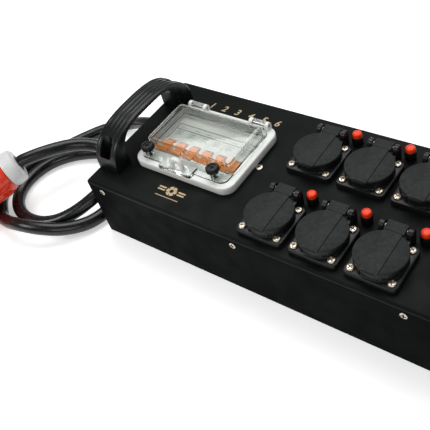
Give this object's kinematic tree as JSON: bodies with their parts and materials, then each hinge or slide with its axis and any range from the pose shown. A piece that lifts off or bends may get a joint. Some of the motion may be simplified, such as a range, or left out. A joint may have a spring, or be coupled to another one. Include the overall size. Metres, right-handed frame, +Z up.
{
  "type": "portable power distribution box",
  "caption": "Carry box with a steel case, bow handles, a hinged window over circuit breakers, shuttered sockets, reset buttons and a supply lead with plug.",
  "frame": {"origin": "middle of the underside of the steel case", "axes": "+X along the case away from the supply lead, +Y from the front row of sockets to the back row, +Z up"},
  "size_m": [0.6438, 0.2881, 0.1248],
  "materials": {
    "steel": "satin black powder coat",
    "handle": "satin",
    "socket": "fine texture",
    "button": "gloss",
    "frame": "satin",
    "clear": "clear",
    "breaker": "satin",
    "toggle": "satin",
    "zinc": "zinc plated",
    "brass": "plain",
    "rubber": "smooth sheath",
    "plug": "gloss",
    "collar": "satin"
  },
  "bodies": {
    "box": {"base_tray": "steel", "top_panel": "steel", "handle_left": "handle", "handle_right": "handle", "socket_body_1": "socket", "socket_body_2": "socket", "socket_body_3": "socket", "socket_body_4": "socket", "socket_body_5": "socket", "socket_body_6": "socket", "button_housing_1": "socket", "button_housing_2": "socket", "button_housing_3": "socket", "button_housing_4": "socket", "button_housing_5": "socket", "button_housing_6": "socket", "window_frame": "frame", "lid_pin_left": "zinc", "lid_pin_right": "zinc", "din_rail": "zinc", "breaker_1": "breaker", "breaker_2": "breaker", "breaker_3": "breaker", "breaker_4": "breaker", "breaker_5": "breaker", "breaker_6": "breaker", "terminal_block": "breaker", "earth_bar": "brass", "plug_pins": "brass", "cable_gland": "socket", "cable_sleeve": "rubber", "supply_cable": "rubber", "plug_collar": "collar", "plug_body": "plug"},
    "lid": {"window_lid": "clear"},
    "knob_left": {"lid_knob_left": "socket"},
    "knob_right": {"lid_knob_right": "socket"},
    "flap_1": {"socket_flap_1": "socket"},
    "button_1": {"reset_button_1": "button"},
    "toggle_1": {"breaker_toggle_1": "toggle"},
    "flap_2": {"socket_flap_2": "socket"},
    "button_2": {"reset_button_2": "button"},
    "toggle_2": {"breaker_toggle_2": "toggle"},
    "flap_3": {"socket_flap_3": "socket"},
    "button_3": {"reset_button_3": "button"},
    "toggle_3": {"breaker_toggle_3": "toggle"},
    "flap_4": {"socket_flap_4": "socket"},
    "button_4": {"reset_button_4": "button"},
    "toggle_4": {"breaker_toggle_4": "toggle"},
    "flap_5": {"socket_flap_5": "socket"},
    "button_5": {"reset_button_5": "button"},
    "toggle_5": {"breaker_toggle_5": "toggle"},
    "flap_6": {"socket_flap_6": "socket"},
    "button_6": {"reset_button_6": "button"},
    "toggle_6": {"breaker_toggle_6": "toggle"}
  },
  "joints": [
    {"name": "lid_hinge", "type": "hinge", "parent": "box", "child": "lid", "pos_m": [-0.115, 0.0465, 0.0943], "axis": [-1, 0, 0], "range_deg": [0, 105]},
    {"name": "knob_left_turn", "type": "hinge", "parent": "lid", "child": "knob_left", "pos_m": [-0.1616, -0.0356, 0.0988], "axis": [0, 0, 1], "continuous": true},
    {"name": "knob_right_turn", "type": "hinge", "parent": "lid", "child": "knob_right", "pos_m": [-0.0755, -0.0356, 0.0988], "axis": [0, 0, 1], "continuous": true},
    {"name": "flap_1_hinge", "type": "hinge", "parent": "box", "child": "flap_1", "pos_m": [0.004, -0.0275, 0.095], "axis": [-1, 0, 0], "range_deg": [0, 110], "stiffness_Nm_per_rad": 0.012, "springref_deg": -20.05},
    {"name": "flap_2_hinge", "type": "hinge", "parent": "box", "child": "flap_2", "pos_m": [0.06, -0.0275, 0.095], "axis": [-1, 0, 0], "range_deg": [0, 110], "stiffness_Nm_per_rad": 0.012, "springref_deg": -20.05},
    {"name": "flap_3_hinge", "type": "hinge", "parent": "box", "child": "flap_3", "pos_m": [0.116, -0.0275, 0.095], "axis": [-1, 0, 0], "range_deg": [0, 110], "stiffness_Nm_per_rad": 0.012, "springref_deg": -20.05},
    {"name": "flap_4_hinge", "type": "hinge", "parent": "box", "child": "flap_4", "pos_m": [0.004, 0.0615, 0.095], "axis": [-1, 0, 0], "range_deg": [0, 110], "stiffness_Nm_per_rad": 0.012, "springref_deg": -20.05},
    {"name": "flap_5_hinge", "type": "hinge", "parent": "box", "child": "flap_5", "pos_m": [0.06, 0.0615, 0.095], "axis": [-1, 0, 0], "range_deg": [0, 110], "stiffness_Nm_per_rad": 0.012, "springref_deg": -20.05},
    {"name": "flap_6_hinge", "type": "hinge", "parent": "box", "child": "flap_6", "pos_m": [0.116, 0.0615, 0.095], "axis": [-1, 0, 0], "range_deg": [0, 110], "stiffness_Nm_per_rad": 0.012, "springref_deg": -20.05},
    {"name": "button_1_press", "type": "slide", "parent": "box", "child": "button_1", "axis": [0, 0, -1], "range_m": [0, 0.003], "stiffness_N_per_m": 400, "springref_m": -0.002},
    {"name": "button_2_press", "type": "slide", "parent": "box", "child": "button_2", "axis": [0, 0, -1], "range_m": [0, 0.003], "stiffness_N_per_m": 400, "springref_m": -0.002},
    {"name": "button_3_press", "type": "slide", "parent": "box", "child": "button_3", "axis": [0, 0, -1], "range_m": [0, 0.003], "stiffness_N_per_m": 400, "springref_m": -0.002},
    {"name": "button_4_press", "type": "slide", "parent": "box", "child": "button_4", "axis": [0, 0, -1], "range_m": [0, 0.003], "stiffness_N_per_m": 400, "springref_m": -0.002},
    {"name": "button_5_press", "type": "slide", "parent": "box", "child": "button_5", "axis": [0, 0, -1], "range_m": [0, 0.003], "stiffness_N_per_m": 400, "springref_m": -0.002},
    {"name": "button_6_press", "type": "slide", "parent": "box", "child": "button_6", "axis": [0, 0, -1], "range_m": [0, 0.003], "stiffness_N_per_m": 400, "springref_m": -0.002},
    {"name": "toggle_1_throw", "type": "hinge", "parent": "box", "child": "toggle_1", "pos_m": [-0.159, -0.009, 0.0775], "axis": [-1, 0, 0], "range_deg": [0, 90]},
    {"name": "toggle_2_throw", "type": "hinge", "parent": "box", "child": "toggle_2", "pos_m": [-0.1414, -0.009, 0.0775], "axis": [-1, 0, 0], "range_deg": [0, 90]},
    {"name": "toggle_3_throw", "type": "hinge", "parent": "box", "child": "toggle_3", "pos_m": [-0.1238, -0.009, 0.0775], "axis": [-1, 0, 0], "range_deg": [0, 90]},
    {"name": "toggle_4_throw", "type": "hinge", "parent": "box", "child": "toggle_4", "pos_m": [-0.1062, -0.009, 0.0775], "axis": [-1, 0, 0], "range_deg": [0, 90]},
    {"name": "toggle_5_throw", "type": "hinge", "parent": "box", "child": "toggle_5", "pos_m": [-0.0886, -0.009, 0.0775], "axis": [-1, 0, 0], "range_deg": [0, 90]},
    {"name": "toggle_6_throw", "type": "hinge", "parent": "box", "child": "toggle_6", "pos_m": [-0.071, -0.009, 0.0775], "axis": [-1, 0, 0], "range_deg": [0, 90]}
  ]
}
